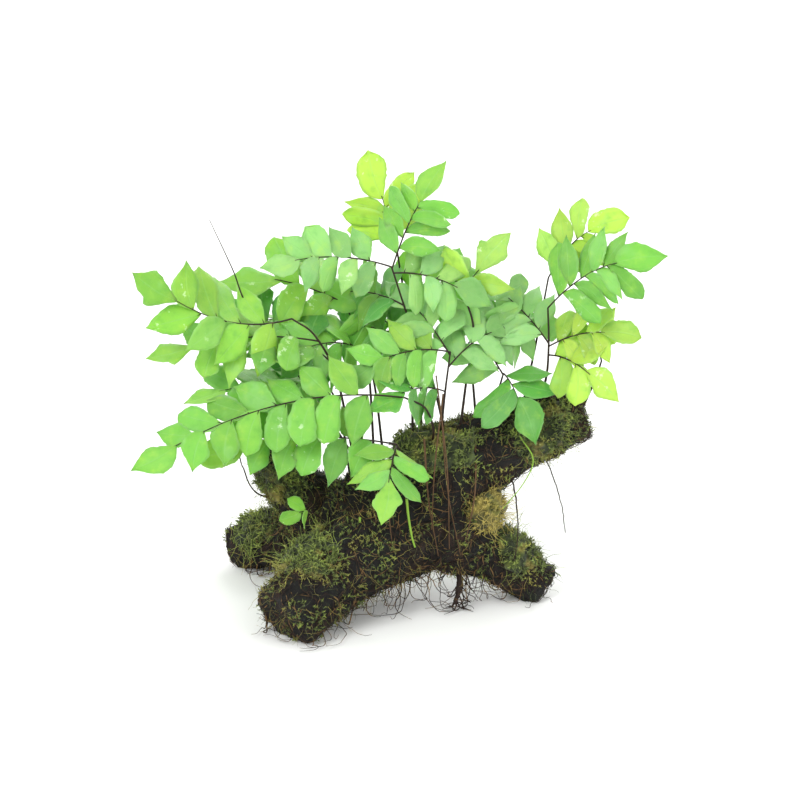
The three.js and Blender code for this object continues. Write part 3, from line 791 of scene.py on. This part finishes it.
# Half widths at shares along the blade, as shares of its full half width: first the side towards
# the frond's tip, then the side towards its foot.
BLADES = {
    "round": (
        ((0, 0.14), (0.08, 0.6), (0.25, 0.9), (0.5, 1), (0.74, 0.98), (0.88, 0.78), (0.96, 0.48),
         (1, 0.16)),
        ((0, 0.06), (0.2, 0.4), (0.44, 0.82), (0.64, 0.96), (0.8, 0.88), (0.92, 0.56), (1, 0.08))),
    "square": (
        ((0, 0.16), (0.1, 0.72), (0.3, 0.96), (0.62, 1), (0.84, 0.96), (0.93, 0.8), (1, 0.5)),
        ((0, 0.06), (0.24, 0.4), (0.5, 0.82), (0.72, 1), (0.84, 0.8), (0.95, 0.42), (1, 0.1))),
    "point": (
        ((0, 0.12), (0.1, 0.6), (0.3, 0.96), (0.5, 0.98), (0.7, 0.7), (0.86, 0.36), (1, 0.02)),
        ((0, 0.06), (0.24, 0.52), (0.44, 0.88), (0.58, 0.92), (0.74, 0.66), (0.88, 0.32),
         (1, 0.02))),
    "lobed": (
        ((0, 0.1), (0.2, 0.42), (0.38, 0.84), (0.5, 1), (0.56, 0.94), (0.62, 0.64), (0.76, 0.6),
         (0.9, 0.36), (1, 0.06)),
        ((0, 0.08), (0.24, 0.48), (0.44, 0.84), (0.6, 1), (0.68, 0.92), (0.76, 0.6), (0.88, 0.36),
         (1, 0.05))),
}


# How leaflets bend: the ranges of roll, pitch, curl, cup and ripple, and of the ripple's phase.
BENDS = ((-0.28, 0.28), (-0.34, 0.2), (0, 0.16), (-0.14, 0.24), (0.02, 0.06), (0, 6.28))
# The edge is nicked by up to this share of the width, past these first rows.
TOOTH_DEPTH, SMOOTH_ROWS = 0.09, 5

# One leaflet: where it leaves the midrib, its side, how far it sweeps forward, its length and
# width, its own short stalk, its blade, and whether it is the last. Lengths in metres.
Leaflet = namedtuple("Leaflet", "foot hand sweep length width gap blade last")


def blade_half_width(profile, along):
    """Half the blade's width at a share along it, as a share of its full half width."""
    for (start, low), (end, high) in zip(profile, profile[1:]):
        if along <= end:
            return lerp(low, high, (along - start) / (end - start))
    return profile[-1][1]


def add_leaflet(bm, frond, leaflet, green, rng):
    """Adds one leaflet blade. Its flat sheet is bent along the frond and curls a little."""
    profiles = BLADES[leaflet.blade]
    made = bmesh.ops.create_grid(
        bm, x_segments=BLADE_COLUMNS, y_segments=BLADE_ROWS, size=0.5, calc_uvs=True)
    tint = bm.verts.layers.float_color["leaf_green"]
    roll, pitch, curl, cup, ripple, phase = [rng.uniform(*ends) for ends in BENDS]
    roll += leaflet.hand * 0.1
    teeth = [[rng.uniform(0, TOOTH_DEPTH) if row > SMOOTH_ROWS else 0
              for row in range(BLADE_ROWS + 1)] for _ in profiles]
    sweep, length = leaflet.sweep, leaflet.length
    for vertex in made["verts"]:
        row = round((vertex.co.y + 0.5) * BLADE_ROWS)
        across = vertex.co.x * 2
        side = 0 if across > 0 else 1
        along = row / BLADE_ROWS
        half = blade_half_width(profiles[side], along) * (1 - teeth[side][row]) * leaflet.width / 2
        over = across * half + 0.05 * length * math.sin(math.pi * along)
        bulge = 0.05 * length * (1 - across * across) * along ** 4
        out = leaflet.gap + along * length + bulge
        rise = roll * over + pitch * out - curl * length * along ** 2
        rise += cup * half * across * across
        rise += ripple * length * across * across * math.sin(phase + 9 * along) * along
        ahead = leaflet.foot + out * math.sin(sweep) + over * math.cos(sweep)
        aside = leaflet.hand * (out * math.cos(sweep) - over * math.sin(sweep))
        if leaflet.last:
            ahead, aside = leaflet.foot + out, over
        vertex[tint] = green
        vertex.co = frond.place(ahead, aside, rise)


def frond_leaflets(frond, leaf, pairs, bare, width_share, last_blade, rng):
    """Where each leaflet of a frond stands, in order from the foot."""
    spacing = (1 - bare) * frond.length / (pairs + 0.3)
    leaflets = []
    for pair in range(pairs):
        for hand in (1, -1):
            foot = bare * frond.length + spacing * (pair + (0 if hand > 0 else STAGGER))
            along = foot / frond.length
            length = leaf * MM * lerp(LEAST_FULLNESS, 1, math.sin(math.pi * (0.2 + 0.8 * along)))
            length *= rng.uniform(0.92, 1.06)
            width = min(length * width_share * rng.uniform(0.9, 1.08), 1.35 * spacing)
            width = max(width, 0.5 * length)
            sweep = lerp(BASE_SWEEP, TIP_SWEEP, along) + rng.uniform(-0.12, 0.12)
            blade = rng.choice(("round", "square", "point", "point"))
            leaflets.append(Leaflet(foot, hand, sweep, length, width, 0.02 * length, blade, False))
    foot = frond.length - 0.3 * spacing
    length = leaf * MM * LAST_SHARE
    width = length * width_share * 0.95
    leaflets.append(Leaflet(foot, 1, 0, length, width, 0.02 * length, last_blade, True))
    return leaflets


def varied_green(settings, tone, rng):
    """A leaflet's own green, near its frond's."""
    base = Vector(shade(getattr(settings, tone))[:3])
    other = Vector(shade(getattr(settings, rng.choice(("fresh", "middle", "pale", "golden"))))[:3])
    mixed = base.lerp(other, rng.uniform(0, 0.4)) * rng.uniform(0.76, 1.14)
    return (*mixed, 1)


def make_frond(name, frond, leaf, pairs, bare, tone, last_blade, nodes, seed):
    """One frond: its leaflets, midrib and leaflet stalks."""
    leaves = bpy.context.scene.fern_leaf
    stems = bpy.context.scene.fern_stem
    rng = random.Random(seed)
    bm = bmesh.new()
    bm.verts.layers.float_color.new("leaf_green")
    bm.loops.layers.uv.new("blade")
    leaflets = frond_leaflets(frond, leaf, pairs, bare, leaves.width_share, last_blade, rng)
    for leaflet in leaflets:
        add_leaflet(bm, frond, leaflet, varied_green(leaves, tone, rng), rng)
    bmesh.ops.recalc_face_normals(bm, faces=bm.faces)
    finish = finish_named("fern_leaf", leaf_finish, leaves)
    piece = add_piece(name, mesh_from(bm, name), finish, "leaf", *nodes)
    wall = piece.modifiers.new("Blade thickness", "SOLIDIFY")
    wall.thickness = leaves.thickness
    wall.offset = 0

    steps = 4 * pairs + 6
    thick = leaves.rib_radius
    rib = [frond.place(frond.length * step / steps, 0, 0) for step in range(steps + 1)]
    strands = [(rib, [lerp(thick, thick * 0.45, step / steps) for step in range(steps + 1)])]
    for leaflet in leaflets[:-1]:
        points = []
        for share in (0, 0.5, 1):
            out = share * (leaflet.gap + 0.1 * leaflet.length)
            ahead = leaflet.foot + out * math.sin(leaflet.sweep)
            points.append(frond.place(ahead, leaflet.hand * out * math.cos(leaflet.sweep), 0))
        strands.append((points, [thick * 0.6, thick * 0.45, thick * 0.2]))
    add_strands(name + "_rib", strands, 1, dark_stalk_finish(stems), "stalk")


class FERN_OT_fronds(bpy.types.Operator):
    """Make every frond with its leaflets, midrib and leaflet stalks"""

    bl_idname = "fern.fronds"
    bl_label = "Fronds"

    def execute(self, context):
        rows = [(name, row, [f"spray_{name}"]) for name, row in FRONDS.items()]
        rows += [(name, row, []) for name, row in FILLING_FRONDS.items()]
        for seed, (name, row, nodes) in enumerate(rows):
            stalk, share, reach, arch, face, leaf, pairs, tone, last_blade = row
            start = smooth_point(stalk_points(stalk), share)
            frond = FrondCurve(start, reach, arch, face)
            make_frond(f"frond_{name}", frond, leaf, pairs, BARE_SHARE, tone, last_blade, nodes,
                       seed)
        start = wood_top(*SPROUT_FOOT) - Vector((0, 0, SPROUT_SINK * MM))
        make_frond("young_frond", FrondCurve(start, *SPROUT_CURVE), SPROUT_LEAF, 1, SPROUT_BARE,
                   "fresh", "round", ["moss_sprout"], len(rows))
        return {"FINISHED"}


# ---- stems

class FERN_OT_stems(bpy.types.Operator):
    """Make the wiry stalks, the bare shoot and the old and young strands beside them"""

    bl_idname = "fern.stems"
    bl_label = "Stems"

    def execute(self, context):
        stems = context.scene.fern_stem
        for name in STALKS:
            bare = name == "bare_shoot"
            tip = stems.shoot_tip_radius if bare else stems.tip_radius
            title = name if bare else f"stalk_{name}"
            points = stalk_points(name)
            strand = tapered(points, stems.stalk_radius, tip, 8 * (len(points) - 1))
            add_strands(f"stem_{name}", [strand], 2, dark_stalk_finish(stems), "stalk", title)
        self.add_old_stalks(stems)
        self.add_green_strands(stems)
        return {"FINISHED"}

    def add_old_stalks(self, stems):
        rng = random.Random(OLD_STALK_SEED)
        strands = []
        for start, end in OLD_STALKS:
            first = drawn(start) + random_move(rng, (-2, 2), (-1, 1), (-9, 0))
            last = drawn(end) + Vector((rng.uniform(-4, 4), 0, rng.uniform(-8, 8))) * MM
            middle = (first + last) / 2 + Vector((rng.uniform(-3, 3), rng.uniform(-9, -3), 0)) * MM
            base = rng.uniform(*OLD_STALK_RADII) * MM
            strands.append(tapered([first, middle, last], base, OLD_STALK_TIP * MM, 12))
        add_strands("old_stalks", strands, 1, old_stalk_finish(stems), "stalk")

    def add_green_strands(self, stems):
        strands = []
        for points, radius in GREEN_STRANDS:
            path = [drawn(point) for point in points]
            strands.append(tapered(path, radius * MM, radius * 0.6 * MM, 12))
        green = stalk_finish("green_stalk", stems.green, bpy.context.scene.fern_leaf.golden, 0.5)
        add_strands("green_strands", strands, 1, green, "stalk")


# ---- driftwood

class FERN_OT_driftwood(bpy.types.Operator):
    """Make the forked driftwood with its lumps and ridges"""

    bl_idname = "fern.driftwood"
    bl_label = "Driftwood"

    def execute(self, context):
        wood = context.scene.fern_wood
        mesh = merged_copy("driftwood_body", "driftwood", wood.grain)
        roughen(mesh, BARK_LAYERS, wood.lump)
        add_piece("driftwood_body", mesh, wood_finish(context.scene), "bark", "driftwood")
        return {"FINISHED"}


class FERN_OT_creeping_stem(bpy.types.Operator):
    """Make the creeping stem with its papery scales"""

    bl_idname = "fern.creeping_stem"
    bl_label = "Creeping Stem"

    def execute(self, context):
        mesh = merged_copy("creeping_stem", "rhizome", RHIZOME_GRAIN * MM)
        roughen(mesh, RHIZOME_LAYERS)
        add_piece("creeping_stem", mesh, wood_finish(context.scene), "rhizome", "rhizome")
        rng = random.Random(SCALE_SEED)
        strands = []
        for spot, normal in surface_spots(mesh, SCALE_COUNT, rng):
            lean = (normal + random_direction(rng) * 0.9).normalized()
            middle = spot + lean * 1.3 * MM
            end = spot + (lean + random_direction(rng) * 0.4) * 2.4 * MM
            strands.append(([spot, middle, end], [radius * MM for radius in SCALE_RADII]))
        brown = old_stalk_finish(context.scene.fern_stem)
        add_strands("creeping_stem_scales", strands, 0, brown, "rhizome")
        return {"FINISHED"}


# ---- moss

def moss_sprig():
    """One moss sprig, one unit high, with leaves in a spiral. Its tips are marked."""
    bm = bmesh.new()
    tip = bm.verts.layers.float.new("tip")
    bmesh.ops.create_cone(bm, cap_ends=True, segments=3, radius1=0.06, radius2=0.015, depth=1,
                          matrix=Matrix.Translation((0, 0, 0.5)))
    for index in range(SPRIG_LEAVES):
        blade = bmesh.ops.create_grid(bm, x_segments=1, y_segments=2, size=0.5)["verts"]
        for vertex in blade:
            reach = vertex.co.y + 0.5
            across = vertex.co.x * 0.22 * (1.1 - reach)
            vertex.co = Vector((across, reach * 0.42, reach * (1 - reach) * 0.25))
        height = 0.12 + 0.82 * index / SPRIG_LEAVES
        turn = Matrix.Rotation(2.4 * index, 4, "Z") @ Matrix.Rotation(0.75, 4, "X")
        bmesh.ops.transform(bm, matrix=Matrix.Translation((0, 0, height)) @ turn, verts=blade)
    for vertex in bm.verts:
        vertex[tip] = min(1, max(0, 0.75 * vertex.co.z + 0.35 * vertex.co.xy.length))
        vertex.co.x += 0.3 * vertex.co.z ** 2
    return mesh_from(bm, "moss_sprig")


def scattered(name, master, matrices):
    """One mesh of copies of a master mesh, one for each matrix."""
    count = len(master.vertices)
    places = np.ones((count, 4))
    places[:, :3] = np.array([vertex.co for vertex in master.vertices])
    tips = np.zeros(count)
    master.attributes["tip"].data.foreach_get("value", tips)
    moved = np.einsum("nij,vj->nvi", np.array(matrices), places)[:, :, :3]
    moved[:, :, 2] = np.maximum(moved[:, :, 2], 0.2 * MM)
    faces = [tuple(polygon.vertices) for polygon in master.polygons]
    all_faces = [tuple(index + copy * count for index in face)
                 for copy in range(len(matrices)) for face in faces]
    mesh = bpy.data.meshes.new(name)
    mesh.from_pydata(moved.reshape(-1, 3).tolist(), [], all_faces)
    mark_tips(mesh, np.tile(tips, len(matrices)))
    return mesh


def sprig_matrix(spot, normal, size, rng):
    """Stands a sprig on a spot, leaning a little up and a little at random."""
    lean = (normal + Vector((0, 0, 0.35)) + random_direction(rng) * 0.55).normalized()
    turn = lean.to_track_quat("Z", "Y").to_matrix().to_4x4()
    spin = Matrix.Rotation(rng.uniform(0, 6.28), 4, "Z")
    scale = size * rng.uniform(0.6, 1.35)
    foot = Matrix.Translation(spot - lean * 0.12 * scale)
    return foot @ turn @ spin @ Matrix.Diagonal((scale, scale, scale, 1))


def above_floor(matrix):
    """Whether a sprig's foot and its leaning top clear the floor."""
    return all((matrix @ Vector(end)).z > 0.6 * MM for end in ((0, 0, 0), (0.3, 0, 1)))


def sprigs_on(name, mesh, per_square_cm, size, rng, keep):
    """Moss sprigs spread over a mesh, where keep allows them."""
    spots = surface_spots(mesh, count_on(mesh, per_square_cm), rng)
    matrices = [sprig_matrix(*place, size, rng) for place in spots if keep(*place)]
    master = moss_sprig()
    made = scattered(name, master, [matrix for matrix in matrices if above_floor(matrix)])
    bpy.data.meshes.remove(master)
    return made


def stays_near(strand):
    """Whether a strand keeps off the floor and close to the plant's box."""
    low, high = CAD_BOX
    spare = SIDE_SPARE * MM
    return all(
        point.z > radius + FLOOR_GAP * MM
        and all(low[axis] - spare < point[axis] < high[axis] + spare for axis in (0, 1))
        for point, radius in zip(*strand))


def near(strands):
    return [strand for strand in strands if stays_near(strand)]


def moss_strands(name, mesh, count, length, radius, rng, brightness):
    """Straggling strands that curl out of the moss, of a length and radius in millimetres."""
    strands = []
    for spot, normal in surface_spots(mesh, count, rng):
        heading = (normal * 0.8 + random_direction(rng)).normalized()
        points = [spot]
        for _ in range(6):
            heading = (heading + random_direction(rng) * 0.45 + Vector((0, 0, -0.08))).normalized()
            points.append(points[-1] + heading * (length * MM) * rng.uniform(0.12, 0.2))
        strands.append(tapered(points, radius * MM, radius * MM * 0.4, 8))
    made = strands_mesh(name, near(strands))
    mark_tips(made, brightness)
    return made


class FERN_OT_moss(bpy.types.Operator):
    """Make the moss pads with their sprigs and straggling strands, and the thin moss on the wood"""

    bl_idname = "fern.moss"
    bl_label = "Moss"

    def execute(self, context):
        moss = context.scene.fern_moss
        green = moss_finish("green_moss", moss.dark, moss.olive, moss.tips, moss.dry)
        dry = moss_finish("dry_moss", moss.dark, moss.dry, moss.dry, moss.olive)
        warm = context.scene.fern_wood.warm
        thin = moss_finish("thin_moss", moss.dark, moss.olive, moss.olive, warm)
        for index, node in enumerate(MOSS_PADS):
            rng = random.Random(PAD_SEED + index)
            finish, slot_name = (dry, "dry_moss") if node == "moss_fork" else (green, "moss")
            pad = merged_copy(node + "_pad", node, PAD_GRAIN * MM)
            roughen(pad, PAD_LAYERS, floor=FLOOR_GAP * MM)
            mark_tips(pad, PAD_BRIGHTNESS)
            straggle, brightness = STRAGGLE.get(node, USUAL_STRAGGLE)
            thick = moss.density * (0.5 if node == "moss_fork" else 1)
            sprigs = sprigs_on(node + "_sprigs", pad, thick, moss.sprig_size, rng, grows_thick)
            strands = moss_strands(node + "_strands", pad, count_on(pad, straggle),
                                   *PAD_STRAND, rng, brightness)
            add_piece(node + "_pad", pad, finish, slot_name, node)
            add_piece(node + "_sprigs", sprigs, finish, slot_name)
            add_piece(node + "_strands", strands, finish, slot_name)
        rng = random.Random(WOOD_MOSS_SEED)
        body = bpy.data.objects["driftwood_body"].data
        size = moss.sprig_size * WOOD_SPRIG_SHARE
        cover = sprigs_on("wood_sprigs", body, WOOD_SPRIGS, size, rng, grows_here)
        add_piece("wood_sprigs", cover, green, "moss")
        for title, finish, length in (("olive", thin, 10), ("straw", dry, 13)):
            name = f"wood_fuzz_{title}"
            fuzz = moss_strands(name, body, FUZZ_COUNT, length, FUZZ_RADIUS, rng, FUZZ_BRIGHTNESS)
            add_piece(name, fuzz, finish, "moss")
        return {"FINISHED"}


def grows_here(spot, normal):
    """Thin moss keeps to patches, and to the upper sides of the wood."""
    return normal.z * 0.4 + 1.6 * noise.noise(spot / (13 * MM)) > 0.05


def grows_thick(spot, normal):
    """The moss of a pad leaves small bald places."""
    return noise.noise(spot / (5 * MM)) > -0.3


# ---- roots

def crawling_root(start, normal, length, rng, tree):
    """The points of a fine root that creeps over the wood."""
    heading = random_direction(rng)
    heading = (heading - normal * heading.dot(normal) + Vector((0, 0, -0.25))).normalized()
    points = [start + normal * 0.3 * MM]
    step = 3 * MM
    for _ in range(int(length / step)):
        heading = (heading + random_direction(rng) * 0.45).normalized()
        spot, normal, _, _ = tree.find_nearest(points[-1] + heading * step)
        ahead = spot + normal * rng.uniform(0.1, 1.6) * MM
        if ahead.z < 1 * MM:
            break
        heading = (ahead - points[-1]).normalized()
        points.append(ahead)
    return points


def hanging_root(start, rng, drop):
    """The points of a fine root that leaves the wood, sags and curls."""
    heading = Vector((rng.uniform(-1, 1), rng.uniform(-1, 0.6), rng.uniform(-1, -0.1))).normalized()
    points = [start]
    for step in range(9):
        curl = random_direction(rng) * 0.55
        heading = (heading + curl + Vector((0, 0, -0.3 if step < 4 else 0.25))).normalized()
        ahead = points[-1] + heading * drop / 6
        ahead.z = max(ahead.z, 1.8 * MM)
        points.append(ahead)
    return points


class FERN_OT_roots(bpy.types.Operator):
    """Make the loose roots, the felt of fine roots on the wood and those that hang under it"""

    bl_idname = "fern.roots"
    bl_label = "Roots"

    def execute(self, context):
        roots = context.scene.fern_root
        dark = root_finish("dark_root", roots.dark, roots.pale, 0.1)
        mixed = root_finish("mixed_root", roots.dark, roots.pale, 0.5)
        for index, (name, (points, radius)) in enumerate(ROOTS.items()):
            rng = random.Random(ROOT_SEED + index)
            path = smooth_path([drawn(point) for point in points], ROOT_STEPS)
            path = [path[0]] + [point + random_direction(rng) * 0.25 * MM for point in path[1:]]
            radii = [radius * MM * lerp(1, 0.5, step / ROOT_STEPS) * rng.uniform(0.85, 1.15)
                     for step in range(ROOT_STEPS + 1)]
            strands = [(path, radii)]
            if name == "root_knot":
                for _ in range(KNOT_ROOTS):
                    points = hanging_root(rng.choice(path), rng, 14 * MM)
                    strands.append(tapered(points, 0.4 * MM, 0.15 * MM, 12))
            add_strands("loose_" + name, strands, 2, dark, "root", name)
        self.add_felt(roots, mixed, dark)
        return {"FINISHED"}

    def add_felt(self, roots, mixed, dark):
        body = bpy.data.objects["driftwood_body"]
        tree = tree_of(body)
        for index, (title, finish) in enumerate((("pale", mixed), ("dark", dark))):
            rng = random.Random(FELT_SEED + index)
            strands = []
            for spot, normal in surface_spots(body.data, FELT_ROOTS, rng):
                points = crawling_root(spot, normal, rng.uniform(14, 46) * MM, rng, tree)
                if len(points) > 3:
                    radius = roots.felt_radius * rng.uniform(0.6, 1.5)
                    strands.append(tapered(points, radius, radius * 0.5, 2 * len(points)))
            add_strands(f"root_felt_{title}", near(strands), 0, finish, "root")
        rng = random.Random(HANGING_SEED)
        strands = []
        for spot, normal in surface_spots(body.data, HANGING_TRIES, rng):
            low = normal.z < -0.2 and 4 * MM < spot.z < 60 * MM
            if low and len(strands) < HANGING_ROOTS:
                points = hanging_root(spot, rng, rng.uniform(10, 32) * MM)
                strands.append(tapered(points, rng.uniform(0.2, 0.5) * MM, 0.12 * MM, 16))
        add_strands("hanging_roots", near(strands), 0, mixed, "root")


# ---- stage

# Where the camera aims, in drawn millimetres. The lights' places and sizes are in metres, and
# their power in watts.
CAMERA_AIM = (0, 0, 129.7)
LIGHT_AIM = (0, 0, 0.12)
LIGHTS = (
    ("key", (-0.9, -1.3, 1.5), 1.0, 26),
    ("fill", (1.4, -0.9, 0.9), 1.2, 9),
    ("back", (0.4, 1.5, 1.2), 1.2, 18),
)
FLOOR_HALF_WIDTH = 3


class FERN_OT_stage(bpy.types.Operator):
    """Make the pale floor, the soft lights and the camera"""

    bl_idname = "fern.stage"
    bl_label = "Stage"

    def execute(self, context):
        stage = context.scene.fern_stage
        self.add_floor(stage)
        self.add_lights(context.scene)
        self.add_camera(context.scene, stage)
        context.scene.view_settings.view_transform = "Standard"
        return {"FINISHED"}

    def add_floor(self, stage):
        bm = bmesh.new()
        bmesh.ops.create_grid(bm, x_segments=2, y_segments=2, size=FLOOR_HALF_WIDTH)
        mesh = mesh_from(bm, "floor")
        floor = Finish("pale_floor", 0.9, 0.1)
        tone = floor.noise(0.4, 2)
        colour = shade(stage.floor)
        darker = (*[0.98 * part for part in colour[:3]], 1)
        floor.feed("Base Color", floor.mix(colour, darker, tone))
        mesh.materials.append(floor.material)
        linked("floor", mesh)

    def add_lights(self, scene):
        world = bpy.data.worlds.new("soft_room")
        world.use_nodes = True
        background = world.node_tree.nodes["Background"]
        background.inputs["Color"].default_value = (1, 1, 1, 1)
        background.inputs["Strength"].default_value = 1.0
        scene.world = world
        middle = Vector(LIGHT_AIM)
        for name, place, size, power in LIGHTS:
            light = bpy.data.lights.new(name, "AREA")
            light.size = size
            light.energy = power
            lamp = linked(name, light)
            lamp.location = place
            lamp.rotation_euler = (middle - lamp.location).to_track_quat("-Z", "Y").to_euler()

    def add_camera(self, scene, stage):
        data = bpy.data.cameras.new("camera")
        camera = linked("camera", data)
        target = drawn(CAMERA_AIM)
        back = Vector((0, -math.cos(stage.elevation), math.sin(stage.elevation)))
        camera.location = target + back * stage.camera_distance
        camera.rotation_euler = (-back).to_track_quat("-Z", "Y").to_euler()
        data.lens = data.sensor_width * stage.camera_distance / stage.view_width
        scene.camera = camera


# ---- panel and registration

OPERATORS = (FERN_OT_stage, FERN_OT_driftwood, FERN_OT_creeping_stem, FERN_OT_stems, FERN_OT_fronds,
             FERN_OT_moss, FERN_OT_roots)


class FERN_PT_panel(bpy.types.Panel):
    """Lists the pieces of the plant and their settings"""

    bl_idname = "FERN_PT_panel"
    bl_label = "Mossy Driftwood Fern"
    bl_space_type = "VIEW_3D"
    bl_region_type = "UI"
    bl_category = "Fern"

    def draw(self, context):
        for operator in OPERATORS:
            self.layout.operator(operator.bl_idname)
        for name, group in SETTINGS.items():
            box = self.layout.box()
            box.label(text=group.__doc__)
            for key in group.__annotations__:
                box.prop(getattr(context.scene, name), key)


CLASSES = (*SETTINGS.values(), *OPERATORS, FERN_PT_panel)


def register():
    for item in CLASSES:
        bpy.utils.register_class(item)
    for name, group in SETTINGS.items():
        setattr(bpy.types.Scene, name, bpy.props.PointerProperty(type=group))


def unregister():
    for name in SETTINGS:
        delattr(bpy.types.Scene, name)
    for item in reversed(CLASSES):
        bpy.utils.unregister_class(item)


def main():
    register()
    for operator in OPERATORS:
        category, name = operator.bl_idname.split(".")
        getattr(getattr(bpy.ops, category), name)()
    bpy.context.view_layer.update()


if __name__ == "__main__":
    main()
